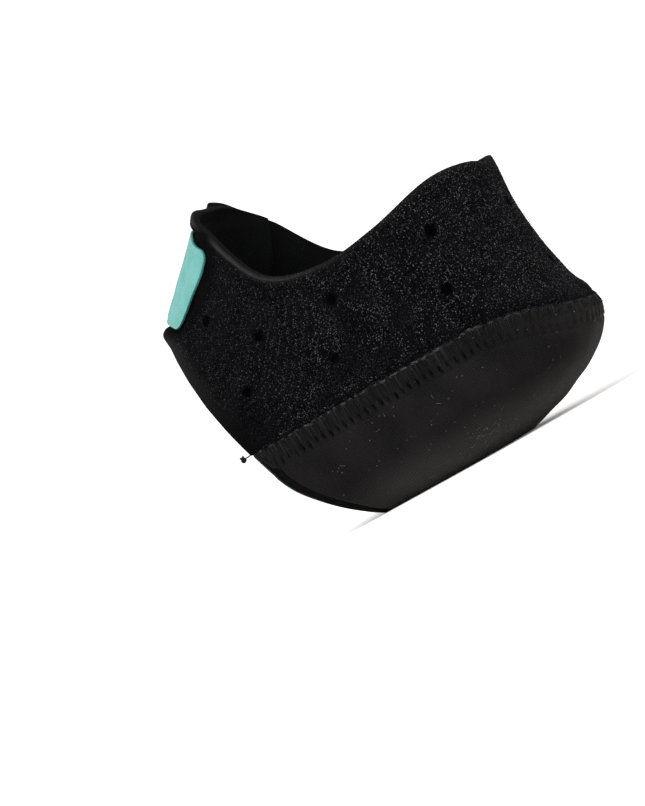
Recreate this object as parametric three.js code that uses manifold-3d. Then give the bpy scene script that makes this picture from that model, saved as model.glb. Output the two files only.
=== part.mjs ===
// Heel cup: a cushioned sleeve that cups the heel and closes round the ankle.
// A plush-faced foam wrap goes round the ankle and laps over itself on the instep.
// A hook tab holds the lap.
// A ribbed knit cup is sewn to the wrap's lower edge, and a narrow hem edges the cup under the arch.
// Units are millimetres. +Z is up, +Y points to the toes and +X to the wearer's right.
// The origin is on the floor under the middle of the whole part. The wearer's left side is the one shown.

import * as THREE from "three";
import { mergeVertices } from "three/addons/utils/BufferGeometryUtils.js";
import Module from "manifold-3d";

const wasm = await Module();
wasm.setup();

// Overall sizes of the sleeve: from the heel to the front edge on the instep, from side to side,
// and from the floor to the top edge on the instep.
const length = 121;
const width = 68;
const height = 106;

// Cloth thicknesses, and the space kept between pieces that touch.
const wrapWall = 2.6;
const cupWall = 1.8;
const hemWall = 1.6;
const tabThickness = 1.2;
const clearance = 0.3;

// The seam between wrap and cup: its height along the side, and how it dips behind the heel.
const seamHeight = 33;
const seamDip = 8.5;
const seamDipReach = 28;

// The hem along the cup's front edge.
const hemWidth = 3;

// Vent holes through the wrap.
const ventDiameter = 3;

// The hook tab on the instep: its size, and how far its free end leans.
const tabLength = 50;
const tabHeight = 30;
const tabCorner = 3.5;
const tabLean = 10;

// Angles round the sleeve in degrees: 0 is the middle of the instep, 180 the middle of the heel, and
// the wearer's left side is negative. The under end comes from the left and stops on the right.
// The over end comes from the right and stops nearer the middle. Cloth that climbs over an end is
// clear of it by the third angle here, and climbs within the fourth.
const underEndDegrees = 42;
const overEndDegrees = 12;
const lapClearDegrees = 4;
const lapRiseDegrees = 19;

// Grid steps: round the sleeve, and along it from the ankle towards the toes.
const degreesPerStep = 6;
const wrapSteps = 14;
const cupSteps = 11;
const hemSteps = 2;
const tabSteps = { round: 20, along: 8 };
const ventSides = 12;
const seamSteps = 24;

// The sleeve bends from the ankle to the foot, so each row is an oval in its own tilted plane.
// back and front are shares of the length, the two heights are shares of the height, and half is a share
// of half the width. widest is the oval's widest place, as a share of the way from back to front.
// roundness shapes the oval behind that place: 2 is an ellipse, and more is squarer.
const sectionColumns = ["back", "backHeight", "front", "frontHeight", "half", "widest", "roundness"];
const sections = [
  [0.078, 0.896, 0.628, 1.113, 0.985, 0.5, 1.9],
  [0.06, 0.708, 0.769, 0.995, 1, 0.5, 1.9],
  [0.066, 0.528, 0.806, 0.939, 1, 0.48, 2],
  [0.033, 0.33, 0.851, 0.882, 1, 0.46, 2.1],
  [-0.007, 0.203, 0.909, 0.835, 0.994, 0.44, 2.2],
  [0.091, 0.079, 0.961, 0.797, 0.994, 0.42, 2.3],
  [0.314, -0.005, 0.996, 0.759, 0.985, 0.38, 2.5],
  [0.579, -0.028, 1.025, 0.726, 0.985, 0.36, 2.6],
  [0.826, -0.028, 1.058, 0.689, 0.985, 0.36, 2.6],
  [1.074, -0.028, 1.099, 0.642, 0.985, 0.36, 2.6],
];
const sectionScales = {
  back: length,
  backHeight: height,
  front: length,
  frontHeight: height,
  half: width / 2,
  widest: 1,
  roundness: 1,
};

// Height of the wrap's top edge at each angle, as a share of the height.
const topEdge = [
  { angle: 0, share: 1 },
  { angle: 25, share: 0.975 },
  { angle: 45, share: 0.88 },
  { angle: 65, share: 0.713 },
  { angle: 85, share: 0.661 },
  { angle: 110, share: 0.671 },
  { angle: 140, share: 0.715 },
  { angle: 160, share: 0.711 },
  { angle: 180, share: 0.689 },
];

// How far forward the front edge lies at each angle, as a share of the length.
const frontEdge = [
  { angle: 0, share: 1 },
  { angle: 30, share: 0.963 },
  { angle: 60, share: 0.901 },
  { angle: 90, share: 0.82 },
  { angle: 120, share: 0.733 },
  { angle: 150, share: 0.679 },
  { angle: 180, share: 0.657 },
];

// Vent holes: the angle, the height's share, and whether the wearer's right side has the same hole.
const vents = [
  { angle: -43, share: 0.699, both: false },
  { angle: -62, share: 0.585, both: true },
  { angle: -65, share: 0.472, both: true },
  { angle: -82, share: 0.567, both: true },
  { angle: -82, share: 0.432, both: true },
  { angle: -118.5, share: 0.437, both: true },
  { angle: -129.5, share: 0.591, both: true },
  { angle: -180, share: 0.568, both: false },
  { angle: -180, share: 0.378, both: false },
];

// The tab's middle lies on this row of the section table, about halfway from top edge to front edge.
const tabRow = 3.6;

// Depths below the sleeve's outer surface, so that wrap, cup and hem are flush on the inside.
const cupDepth = wrapWall - cupWall;
const hemDepth = wrapWall - hemWall;

const lastRow = sections.length - 1;

// A smooth curve through rows of numbers, with the given ending at both ends.
function smoothCurve(positions, values, ending) {
  const curve = new THREE.CubicInterpolant(positions, values, values.length / positions.length);
  curve.settings = { endingStart: ending, endingEnd: ending };
  return curve;
}

const sectionCurve = smoothCurve(
  sections.map((row, i) => i),
  sections.flatMap((row) => row.map((share, i) => share * sectionScales[sectionColumns[i]])),
  THREE.ZeroCurvatureEnding,
);

function edgeCurve(table) {
  return smoothCurve(
    table.map((row) => row.angle),
    table.map((row) => row.share),
    THREE.ZeroSlopeEnding,
  );
}

const topCurve = edgeCurve(topEdge);
const frontCurve = edgeCurve(frontEdge);

// The angle's distance from the middle of the instep, from 0 to 180 degrees.
function fromInstep(angle) {
  const turn = THREE.MathUtils.euclideanModulo(angle, 360);
  return Math.min(turn, 360 - turn);
}

function signedPower(value, power) {
  return Math.sign(value) * Math.abs(value) ** power;
}

// A point of the sleeve's outer surface, at an angle in degrees and a row number between 0 and lastRow.
function surfacePoint(angle, row) {
  const place = THREE.MathUtils.clamp(row, 0, lastRow);
  const [back, backHeight, front, frontHeight, half, widest, roundness] = sectionCurve.evaluate(place);
  const radians = THREE.MathUtils.degToRad(angle);
  const ahead = Math.cos(radians) > 0;
  const power = ahead ? 1 : 2 / roundness;
  const along = signedPower(Math.cos(radians), power);
  const side = signedPower(Math.sin(radians), power);
  const share = widest + along * (ahead ? 1 - widest : widest);
  return new THREE.Vector3(
    half * side,
    THREE.MathUtils.lerp(back, front, share),
    THREE.MathUtils.lerp(backHeight, frontHeight, share),
  );
}

// The outward normal of that surface.
function surfaceNormal(angle, row) {
  const step = 0.01;
  const round = surfacePoint(angle + step, row).sub(surfacePoint(angle - step, row));
  const along = surfacePoint(angle, row + step).sub(surfacePoint(angle, row - step));
  return round.cross(along).normalize();
}

// The place between low and high where reached turns true, or high if it never does.
function bisect(low, high, reached) {
  for (let i = 0; i < 40; i++) {
    const middle = (low + high) / 2;
    if (reached(middle)) high = middle;
    else low = middle;
  }
  return high;
}

// A row between the top edge and the front edge at every angle, and one that is above the seam.
const middleRow = 4;
const aboveSeam = 1.5;

function topRow(angle) {
  const wanted = height * topCurve.evaluate(fromInstep(angle))[0];
  return bisect(0, middleRow, (row) => surfacePoint(angle, row).z < wanted);
}

function frontRow(angle) {
  const wanted = length * frontCurve.evaluate(fromInstep(angle))[0];
  return bisect(middleRow, lastRow, (row) => surfacePoint(angle, row).y > wanted);
}

function seamAt(y) {
  return seamHeight - seamDip * Math.max(0, 1 - y / seamDipReach) ** 2;
}

// The row where the surface comes down to the given distance above the seam, or else the last row.
function seamRow(angle, above) {
  return bisect(aboveSeam, lastRow, (row) => {
    const point = surfacePoint(angle, row);
    return point.z < seamAt(point.y) + above;
  });
}

// The angle on the wearer's right where the seam runs out at the front edge.
const seamEnd = bisect(0, 180, (angle) => {
  const point = surfacePoint(angle, frontRow(angle));
  return point.z < seamAt(point.y);
});

// The row reached by going the given distance over the surface, towards the toes if it is positive.
function walkRows(angle, row, distance) {
  const steps = 16;
  const half = 0.01;
  let here = row;
  for (let i = 0; i < steps; i++) {
    const span = surfacePoint(angle, here + half).distanceTo(surfacePoint(angle, here - half));
    here += ((distance / steps) * 2 * half) / span;
  }
  return here;
}

// The angle reached by going the given distance round the surface, to the wearer's right if it is positive.
function walkRound(row, distance) {
  const steps = 48;
  const half = 0.1;
  let here = 0;
  for (let i = 0; i < steps; i++) {
    const span = surfacePoint(here + half, row).distanceTo(surfacePoint(here - half, row));
    here += ((distance / steps) * 2 * half) / span;
  }
  return here;
}

// A point below the outer surface by depth. Cloth that would reach below the floor is flattened on it.
function sleevePoint(angle, row, depth, restDepth) {
  const point = surfacePoint(angle, row).addScaledVector(surfaceNormal(angle, row), -depth);
  point.z = Math.max(point.z, depth - restDepth);
  return point;
}

// Closes two matching grids of points into one solid. Each is a list of columns that run towards the toes,
// from the wearer's right to the left across the instep.
function sheetSolid(outer, inner) {
  const last = outer.length - 1;
  const end = outer[0].length - 1;
  const positions = [...outer.flat(), ...inner.flat()].flatMap((point) => point.toArray());
  const at = (side, i, j) => (side * (last + 1) + i) * (end + 1) + j;
  const index = [];
  const quad = (a, b, c, d) => index.push(a, b, c, a, c, d);
  for (let i = 0; i < last; i++)
    for (let j = 0; j < end; j++) {
      quad(at(0, i, j), at(0, i, j + 1), at(0, i + 1, j + 1), at(0, i + 1, j));
      quad(at(1, i, j), at(1, i + 1, j), at(1, i + 1, j + 1), at(1, i, j + 1));
    }
  for (let i = 0; i < last; i++) {
    quad(at(0, i, 0), at(0, i + 1, 0), at(1, i + 1, 0), at(1, i, 0));
    quad(at(0, i, end), at(1, i, end), at(1, i + 1, end), at(0, i + 1, end));
  }
  for (let j = 0; j < end; j++) {
    quad(at(0, 0, j), at(1, 0, j), at(1, 0, j + 1), at(0, 0, j + 1));
    quad(at(0, last, j), at(0, last, j + 1), at(1, last, j + 1), at(1, last, j));
  }
  const geometry = new THREE.BufferGeometry();
  geometry.setAttribute("position", new THREE.Float32BufferAttribute(positions, 3));
  geometry.setIndex(index);
  return toSolid(geometry);
}

function toSolid(geometry) {
  const bare = geometry.clone();
  bare.deleteAttribute("normal");
  bare.deleteAttribute("uv");
  const merged = mergeVertices(bare, 1e-4);
  const vertProperties = new Float32Array(merged.attributes.position.array);
  const triVerts = new Uint32Array(merged.index.array);
  return new wasm.Manifold(new wasm.Mesh({ numProp: 3, vertProperties, triVerts }));
}

function toGeometry(solid) {
  const mesh = solid.getMesh();
  const geometry = new THREE.BufferGeometry();
  geometry.setAttribute("position", new THREE.BufferAttribute(new Float32Array(mesh.vertProperties), 3));
  geometry.setIndex(new THREE.BufferAttribute(new Uint32Array(mesh.triVerts), 1));
  return geometry;
}

// A closed strip of the sleeve between two angles, from firstRow(angle) to endRow(angle).
function sleeveStrip({ from, to, steps, firstRow, endRow, depth, wall, lift = () => 0 }) {
  const count = Math.round(Math.abs(to - from) / degreesPerStep);
  const outer = [];
  const inner = [];
  for (let i = 0; i <= count; i++) {
    const angle = from + ((to - from) * i) / count;
    const first = firstRow(angle);
    const end = endRow(angle);
    const rows = Array.from({ length: steps + 1 }, (_, j) => first + ((end - first) * j) / steps);
    outer.push(rows.map((row) => sleevePoint(angle, row, depth - lift(angle), depth)));
    inner.push(rows.map((row) => sleevePoint(angle, row, depth + wall - lift(angle), depth)));
  }
  return sheetSolid(outer, inner);
}

// Everything below the seam, or above it, with the given space left free at the seam.
function seamCutter(below, space) {
  const reach = 2 * length;
  const start = -seamDipReach / 2;
  const far = below ? -reach : reach;
  const level = (y) => seamAt(y) + (below ? space : -space);
  const outline = [];
  for (let i = 0; i <= seamSteps; i++) {
    const y = THREE.MathUtils.lerp(start, seamDipReach, i / seamSteps);
    outline.push(new THREE.Vector2(y, level(y)));
  }
  outline.push(new THREE.Vector2(reach, level(reach)));
  outline.push(new THREE.Vector2(reach, far));
  outline.push(new THREE.Vector2(start, far));
  const options = { depth: 2 * width, bevelEnabled: false };
  const geometry = new THREE.ExtrudeGeometry(new THREE.Shape(outline), options);
  geometry.translate(0, 0, -width);
  const turn = new THREE.Matrix4().makeBasis(
    new THREE.Vector3(0, 1, 0),
    new THREE.Vector3(0, 0, 1),
    new THREE.Vector3(1, 0, 0),
  );
  return toSolid(geometry.applyMatrix4(turn));
}

// The over end rises by one wall and the clearance, so that the under end fits below it.
// Angles run down from the under end, past the heel at -180, to the over end a full turn on.
function wrapLift(angle) {
  if (angle > -180) return 0;
  const high = underEndDegrees + lapClearDegrees;
  const fall = THREE.MathUtils.smoothstep(angle + 360, high, high + lapRiseDegrees);
  return (wrapWall + clearance) * (1 - fall);
}

function ventCutter(angle, share) {
  const row = bisect(0, lastRow, (place) => surfacePoint(angle, place).z < height * share);
  const normal = surfaceNormal(angle, row);
  const place = surfacePoint(angle, row).addScaledVector(normal, -wrapWall / 2);
  const geometry = new THREE.CylinderGeometry(ventDiameter / 2, ventDiameter / 2, 2 * wrapWall, ventSides);
  geometry.applyQuaternion(new THREE.Quaternion().setFromUnitVectors(new THREE.Vector3(0, 1, 0), normal));
  geometry.translate(place.x, place.y, place.z);
  return toSolid(geometry);
}

// The strips run this far past the seam before the cut along it trims them.
const pastSeam = 3;

function ankleWrap() {
  let solid = sleeveStrip({
    from: underEndDegrees,
    to: overEndDegrees - 360,
    steps: wrapSteps,
    firstRow: topRow,
    endRow: (angle) => Math.min(frontRow(angle), seamRow(angle, -pastSeam)),
    depth: 0,
    wall: wrapWall,
    lift: wrapLift,
  });
  solid = solid.subtract(seamCutter(true, clearance / 2));
  for (const { angle, share, both } of vents) {
    solid = solid.subtract(ventCutter(angle, share));
    if (both) solid = solid.subtract(ventCutter(-angle - 360, share));
  }
  return solid;
}

// The cup and the hem start and stop this many degrees before the seam's end, and the cut trims them.
const cutBackDegrees = 12;
const lowerFrom = cutBackDegrees - seamEnd;
const lowerTo = -360 - lowerFrom;

function heelCup() {
  const leastRows = 0.2;
  const endRow = (angle) => walkRows(angle, frontRow(angle), -(hemWidth + clearance));
  const solid = sleeveStrip({
    from: lowerFrom,
    to: lowerTo,
    steps: cupSteps,
    firstRow: (angle) => Math.min(seamRow(angle, pastSeam), endRow(angle) - leastRows),
    endRow,
    depth: cupDepth,
    wall: cupWall,
  });
  return solid.subtract(seamCutter(false, clearance / 2));
}

function frontHem() {
  const solid = sleeveStrip({
    from: lowerFrom,
    to: lowerTo,
    steps: hemSteps,
    firstRow: (angle) => walkRows(angle, frontRow(angle), -hemWidth),
    endRow: frontRow,
    depth: hemDepth,
    wall: hemWall,
  });
  return solid.subtract(seamCutter(false, clearance / 2));
}

// How far the tab's underside stands off the sleeve: over the under end, then up and over the over end.
function tabLift(angle) {
  const high = overEndDegrees - lapClearDegrees;
  const rise = THREE.MathUtils.smoothstep(angle, high - lapRiseDegrees, high);
  return clearance + (wrapWall + clearance) * rise;
}

// The tab's free end is on the wearer's left, and its top corner reaches further round than its lower one.
function closureTab() {
  const outer = [];
  const inner = [];
  const halfLength = tabLength / 2;
  const straight = halfLength - tabCorner;
  for (let i = 0; i <= tabSteps.round; i++) {
    const turn = Math.PI / 2 - (Math.PI * i) / tabSteps.round;
    const around = halfLength * Math.sin(turn);
    const past = Math.max(0, Math.abs(around) - straight);
    const halfHeight = tabHeight / 2 - tabCorner + Math.sqrt(tabCorner ** 2 - past ** 2);
    const outerColumn = [];
    const innerColumn = [];
    for (let j = 0; j <= tabSteps.along; j++) {
      const down = halfHeight * ((2 * j) / tabSteps.along - 1);
      const lean = (tabLean * down * (0.5 - around / tabLength)) / tabHeight;
      const angle = walkRound(tabRow, around + lean);
      const row = walkRows(angle, tabRow, down);
      const normal = surfaceNormal(angle, row);
      const underside = surfacePoint(angle, row).addScaledVector(normal, tabLift(angle));
      innerColumn.push(underside);
      outerColumn.push(underside.clone().addScaledVector(normal, tabThickness));
    }
    outer.push(outerColumn);
    inner.push(innerColumn);
  }
  return sheetSolid(outer, inner);
}

const plush = new THREE.MeshStandardMaterial({ color: 0x1b1a1f, roughness: 0.95, metalness: 0 });
const knit = new THREE.MeshStandardMaterial({ color: 0x1a1715, roughness: 0.9, metalness: 0 });
const binding = new THREE.MeshStandardMaterial({ color: 0x141417, roughness: 0.85, metalness: 0 });
const hook = new THREE.MeshStandardMaterial({ color: 0x78c6be, roughness: 0.8, metalness: 0 });

const part = new THREE.Group();

function addPiece(name, solid, material) {
  const mesh = new THREE.Mesh(toGeometry(solid), material);
  mesh.name = name;
  part.add(mesh);
}

addPiece("ankle_wrap", ankleWrap(), plush);
addPiece("heel_cup", heelCup(), knit);
addPiece("front_hem", frontHem(), binding);
addPiece("closure_tab", closureTab(), hook);

// The origin goes under the middle of the whole part.
const box = new THREE.Box3().setFromObject(part);
const middle = box.getCenter(new THREE.Vector3());
part.position.set(-middle.x, -middle.y, -box.min.z);

export default part;
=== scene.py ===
"""Looks of the heel cup: a plush foam wrap, a ribbed knit cup, a hem, a hook tab and the sewing.

The sleeve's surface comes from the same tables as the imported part. Lengths are millimetres in the
part's own frame until a mesh is made, which is in metres in the row frame.
"""

import math

import bpy
import numpy as np
from mathutils import Matrix, Vector
from mathutils.kdtree import KDTree


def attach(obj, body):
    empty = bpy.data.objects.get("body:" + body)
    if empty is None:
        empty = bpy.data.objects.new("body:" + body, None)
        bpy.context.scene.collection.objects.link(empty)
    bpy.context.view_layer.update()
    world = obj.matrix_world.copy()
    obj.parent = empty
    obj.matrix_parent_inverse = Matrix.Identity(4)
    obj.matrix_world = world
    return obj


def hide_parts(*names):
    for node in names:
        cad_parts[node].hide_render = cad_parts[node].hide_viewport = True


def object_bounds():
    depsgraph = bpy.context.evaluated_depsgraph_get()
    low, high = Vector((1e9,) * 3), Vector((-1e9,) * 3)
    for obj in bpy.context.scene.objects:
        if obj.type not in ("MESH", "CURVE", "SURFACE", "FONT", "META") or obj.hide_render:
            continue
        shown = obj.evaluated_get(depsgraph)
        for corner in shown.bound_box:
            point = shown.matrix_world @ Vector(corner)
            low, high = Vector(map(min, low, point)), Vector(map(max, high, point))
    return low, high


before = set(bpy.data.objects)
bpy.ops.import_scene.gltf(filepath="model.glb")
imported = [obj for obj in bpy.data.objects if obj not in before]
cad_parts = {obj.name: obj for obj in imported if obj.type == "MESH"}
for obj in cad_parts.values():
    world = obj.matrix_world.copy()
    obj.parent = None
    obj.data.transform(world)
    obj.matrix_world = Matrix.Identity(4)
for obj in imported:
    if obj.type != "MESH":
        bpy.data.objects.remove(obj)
cad_box = [list(corner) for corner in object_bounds()]
scene = bpy.context.scene
rng = np.random.default_rng(7)

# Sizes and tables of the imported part.
LENGTH = 121.0
WIDTH = 68.0
HEIGHT = 106.0
WRAP_WALL = 2.6
CUP_WALL = 1.8
HEM_WALL = 1.6
TAB_SKIN = 0.85
CLEARANCE = 0.3
SEAM_HEIGHT = 33.0
SEAM_DIP = 8.5
SEAM_REACH = 28.0
# How far the seam draws the heel in, over what reach round it and up it, and how far above the seam.
SEAM_NIP = 1.2
NIP_ROUND = 45
NIP_UP = 3.6
NIP_ABOVE = 1.5
HEM_WIDTH = 3.0
VENT_DIAMETER = 3.0
TAB_LENGTH = 50.0
TAB_HEIGHT = 30.0
TAB_CORNER = 3.5
TAB_LEAN = 10.0
TAB_ROW = 3.6
UNDER_END = 42.0
OVER_END = 12.0
LAP_CLEAR = 4.0
LAP_RISE = 19.0
# Each row: back, back height, front, front height, half width, widest place and roundness.
SECTIONS = np.array(
    [
        [0.078, 0.896, 0.628, 1.113, 0.985, 0.5, 1.9],
        [0.06, 0.708, 0.769, 0.995, 1, 0.5, 1.9],
        [0.066, 0.528, 0.806, 0.939, 1, 0.48, 2],
        [0.033, 0.33, 0.851, 0.882, 1, 0.46, 2.1],
        [-0.007, 0.203, 0.909, 0.835, 0.994, 0.44, 2.2],
        [0.091, 0.079, 0.961, 0.797, 0.994, 0.42, 2.3],
        [0.314, -0.005, 0.996, 0.759, 0.985, 0.38, 2.5],
        [0.579, -0.028, 1.025, 0.726, 0.985, 0.36, 2.6],
        [0.826, -0.028, 1.058, 0.689, 0.985, 0.36, 2.6],
        [1.074, -0.028, 1.099, 0.642, 0.985, 0.36, 2.6],
    ]
)
SECTION_SCALES = np.array([LENGTH, HEIGHT, LENGTH, HEIGHT, WIDTH / 2, 1, 1])
LAST_ROW = len(SECTIONS) - 1
MIDDLE_ROW = 4
ABOVE_SEAM = 1.5
# Angle from the instep against the top edge's height and the front edge's place, as shares.
TOP_EDGE = [(0, 1), (25, 0.975), (45, 0.88), (65, 0.713), (85, 0.661)]
TOP_EDGE += [(110, 0.671), (140, 0.715), (160, 0.711), (180, 0.689)]
FRONT_EDGE = [(0, 1), (30, 0.963), (60, 0.901), (90, 0.82), (120, 0.733), (150, 0.679), (180, 0.657)]
# Vent holes: the angle and the height's share.
VENTS = [(-43, 0.699), (-180, 0.568), (-180, 0.378)]
for angle, share in [(62, 0.585), (65, 0.472), (82, 0.567), (82, 0.432), (118.5, 0.437), (129.5, 0.591)]:
    VENTS += [(-angle, share), (angle - 360, share)]

CUP_DEPTH = WRAP_WALL - CUP_WALL
HEM_DEPTH = WRAP_WALL - HEM_WALL


def smooth_curve(knots, values, level_ends):
    """A cubic curve through rows of values. Its ends are level, or else they run straight on."""
    knots = np.asarray(knots, float)
    values = np.asarray(values, float).reshape(len(knots), -1)

    def at(place):
        place = np.clip(np.asarray(place, float), knots[0], knots[-1])
        i1 = np.clip(np.searchsorted(knots, place, side="right"), 1, len(knots) - 1)
        i0 = i1 - 1
        t0, t1 = knots[i0], knots[i1]
        first, last = i0 == 0, i1 == len(knots) - 1
        before = np.where(first, i1, i0 - 1)
        after = np.where(last, i1 if level_ends else i0, np.minimum(i1 + 1, len(knots) - 1))
        t_before = np.where(first, 2 * t0 - t1 if level_ends else t1, knots[before])
        t_after = np.where(last, 2 * t1 - t0 if level_ends else t0, knots[after])
        half = (t1 - t0) / 2
        w0 = half / (t0 - t_before)
        w1 = half / (t_after - t1)
        p = (place - t0) / (t1 - t0)
        shares = [
            -w0 * p**3 + 2 * w0 * p**2 - w0 * p,
            (1 + w0) * p**3 + (-1.5 - 2 * w0) * p**2 + (-0.5 + w0) * p + 1,
            (-1 - w1) * p**3 + (1.5 + w1) * p**2 + 0.5 * p,
            w1 * p**3 - w1 * p**2,
        ]
        rows = [values[before], values[i0], values[i1], values[after]]
        return sum(s[..., None] * r for s, r in zip(shares, rows))

    return at


section_curve = smooth_curve(range(len(SECTIONS)), SECTIONS * SECTION_SCALES, False)
top_curve = smooth_curve(*zip(*TOP_EDGE), True)
front_curve = smooth_curve(*zip(*FRONT_EDGE), True)


def unit(vectors):
    return vectors / np.maximum(np.linalg.norm(vectors, axis=-1, keepdims=True), 1e-12)


def smoothstep(x, low, high):
    t = np.clip((x - low) / (high - low), 0, 1)
    return t * t * (3 - 2 * t)


def hump(x, middle, width):
    return np.exp(-(((x - middle) / width) ** 2))


def arch(share):
    return np.sin(np.pi * share)


def surface(angle, row):
    """Points of the sleeve's outer surface, at angles in degrees and at rows of the section table."""
    angle, row = np.broadcast_arrays(np.asarray(angle, float), np.asarray(row, float))
    columns = np.moveaxis(section_curve(np.clip(row, 0, LAST_ROW)), -1, 0)
    back, back_height, front, front_height, half, widest, roundness = columns
    turn = np.radians(angle)
    ahead = np.cos(turn) > 0
    power = np.where(ahead, 1.0, 2 / roundness)
    along = np.sign(np.cos(turn)) * np.abs(np.cos(turn)) ** power
    side = np.sign(np.sin(turn)) * np.abs(np.sin(turn)) ** power
    share = widest + along * np.where(ahead, 1 - widest, widest)
    y = back + (front - back) * share
    z = back_height + (front_height - back_height) * share
    off_heel = np.abs(angle % 360 - 180) / NIP_ROUND
    off_seam = (z - SEAM_HEIGHT + SEAM_DIP - NIP_ABOVE) / NIP_UP
    y = y + SEAM_NIP * np.exp(-(off_heel**2) - off_seam**2)
    return np.stack([half * side, y, z], axis=-1)


def run_lengths(points, axis=0):
    """The length walked along lines of points, from the first point to each."""
    total = np.cumsum(np.linalg.norm(np.diff(points, axis=axis), axis=-1), axis=axis)
    return np.concatenate([np.zeros_like(total.take([0], axis)), total], axis=axis)


def surface_normal(angle, row):
    step = 0.01
    round_it = surface(angle + step, row) - surface(angle - step, row)
    along = surface(angle, row + step) - surface(angle, row - step)
    return unit(np.cross(round_it, along))


def bisect(low, high, reached, shape):
    low, high = np.full(shape, float(low)), np.full(shape, float(high))
    for _ in range(40):
        middle = (low + high) / 2
        hit = reached(middle)
        high = np.where(hit, middle, high)
        low = np.where(hit, low, middle)
    return high


def from_instep(angle):
    turn = np.mod(angle, 360)
    return np.minimum(turn, 360 - turn)


def top_row(angle):
    wanted = HEIGHT * top_curve(from_instep(angle))[..., 0]
    return bisect(0, MIDDLE_ROW, lambda row: surface(angle, row)[..., 2] < wanted, np.shape(angle))


def front_row(angle):
    wanted = LENGTH * front_curve(from_instep(angle))[..., 0]
    return bisect(MIDDLE_ROW, LAST_ROW, lambda row: surface(angle, row)[..., 1] > wanted, np.shape(angle))


def seam_at(y):
    return SEAM_HEIGHT - SEAM_DIP * np.maximum(0, 1 - y / SEAM_REACH) ** 2


def seam_row(angle, above):
    def reached(row):
        point = surface(angle, row)
        return point[..., 2] < seam_at(point[..., 1]) + above

    return bisect(ABOVE_SEAM, LAST_ROW, reached, np.shape(angle))


def past_seam_end(angle):
    point = surface(angle, front_row(angle))
    return point[..., 2] < seam_at(point[..., 1])


SEAM_END = float(bisect(0, 180, past_seam_end, ()))


def field(scale, count, seed):
    """A smooth random field of about one unit's height, whose waves are about scale long."""
    made = np.random.default_rng(seed)
    waves = unit(made.normal(size=(count, 3))) * 2 * math.pi / (scale * made.uniform(0.7, 1.6, (count, 1)))
    phases = made.uniform(0, 2 * math.pi, count)

    def at(points):
        return np.sin(points @ waves.T + phases).sum(-1) * math.sqrt(2 / count)

    return at


WAVE = 0.28
broad_waves = field(34, 7, 1)
small_waves = field(8, 12, 2)
fine_waves = field(2.6, 14, 3)


def sleeve(angle, row, depth, rest=0.0):
    """Points of the cloth as it sits on the foot, at a depth below the outer surface, flattened where it
    rests.
    """
    point = surface(angle, row)
    normal = surface_normal(angle, row)
    wave = WAVE * broad_waves(point) + WAVE / 4 * small_waves(point)
    point = point + normal * (wave - depth)[..., None]
    point[..., 2] = np.maximum(point[..., 2], np.maximum(depth - rest, 0))
    return point


def even_angles(start, stop, row, step):
    """Angles from start to stop that are about step apart over the surface at that row."""
    fine = np.linspace(start, stop, 2000)
    along = run_lengths(surface(fine, float(row)))
    count = max(2, round(along[-1] / step))
    return np.interp(np.linspace(0, along[-1], count + 1), along, fine)


FINE_ROWS = np.linspace(0, LAST_ROW, 541)


def column_lengths(angles):
    """For each angle, the length over the surface from row 0 to each of FINE_ROWS."""
    return run_lengths(surface(angles[:, None], FINE_ROWS[None]), 1)


def rows_at(lengths, wanted):
    """The row at each wanted length of each column."""
    return np.array([np.interp(w, along, FINE_ROWS) for w, along in zip(wanted, lengths)])


def lengths_at(lengths, rows):
    return np.array([np.interp(r, FINE_ROWS, along) for r, along in zip(rows, lengths)])


def strip_grid(angles, first, end, close, count):
    """Angles and rows from first to end, closer at both ends, and each point's distance from both."""
    lengths = column_lengths(angles)
    start = lengths_at(lengths, first)
    span = (lengths_at(lengths, end) - start)[:, None]
    near = np.asarray(close)[None] * np.minimum(1, span / (3 * close[-1]))
    inner = near[:, -1:] + (span - 2 * near[:, -1:]) * np.linspace(0, 1, count + 2)[None, 1:-1]
    down = np.concatenate([near, inner, span - near[:, ::-1]], axis=1)
    rows = rows_at(lengths, start[:, None] + down)
    return np.broadcast_to(angles[:, None], rows.shape), rows, down, span - down


def rounded(distance, radius):
    """How far a rounded edge has dropped at a distance from it."""
    left = np.clip(radius - distance, 0, radius)
    return radius - np.sqrt(radius**2 - left**2)


def grid_faces(columns, rows, start=0):
    index = start + np.arange(columns * rows).reshape(columns, rows)
    corners = [index[:-1, :-1], index[:-1, 1:], index[1:, 1:], index[1:, :-1]]
    return index, np.stack(corners, -1).reshape(-1, 4)


OUTSIDE, INSIDE, EDGE, HOLE = 0, 1, 2, 3
FAR = 99.0


def closed_sheet(outer, inner):
    """Points, faces and each face's side for two matching grids that are closed along their edges."""
    columns, rows = outer.shape[:2]
    front, outer_faces = grid_faces(columns, rows)
    back, inner_faces = grid_faces(columns, rows, columns * rows)
    edges = [
        np.stack([front[:-1, 0], front[1:, 0], back[1:, 0], back[:-1, 0]], -1),
        np.stack([front[:-1, -1], back[:-1, -1], back[1:, -1], front[1:, -1]], -1),
        np.stack([front[0, :-1], back[0, :-1], back[0, 1:], front[0, 1:]], -1),
        np.stack([front[-1, :-1], front[-1, 1:], back[-1, 1:], back[-1, :-1]], -1),
    ]
    faces = np.concatenate([outer_faces, inner_faces[:, ::-1], *edges])
    side = np.full(len(faces), EDGE)
    side[: len(outer_faces)] = OUTSIDE
    side[len(outer_faces) : 2 * len(outer_faces)] = INSIDE
    return np.concatenate([outer.reshape(-1, 3), inner.reshape(-1, 3)]), faces, side


# The part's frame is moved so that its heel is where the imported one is.
heel_angles = even_angles(150, 210, 4, 1.0)
heel_back = surface(heel_angles[:, None], np.linspace(2.5, 5, 101)[None])[..., 1].min()
SHIFT = np.array([0, cad_box[0][1] * 1000 - heel_back, 0])


def to_frame(points):
    """From millimetres in the part's frame to metres in the row frame."""
    return (np.asarray(points) + SHIFT) / 1000


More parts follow.
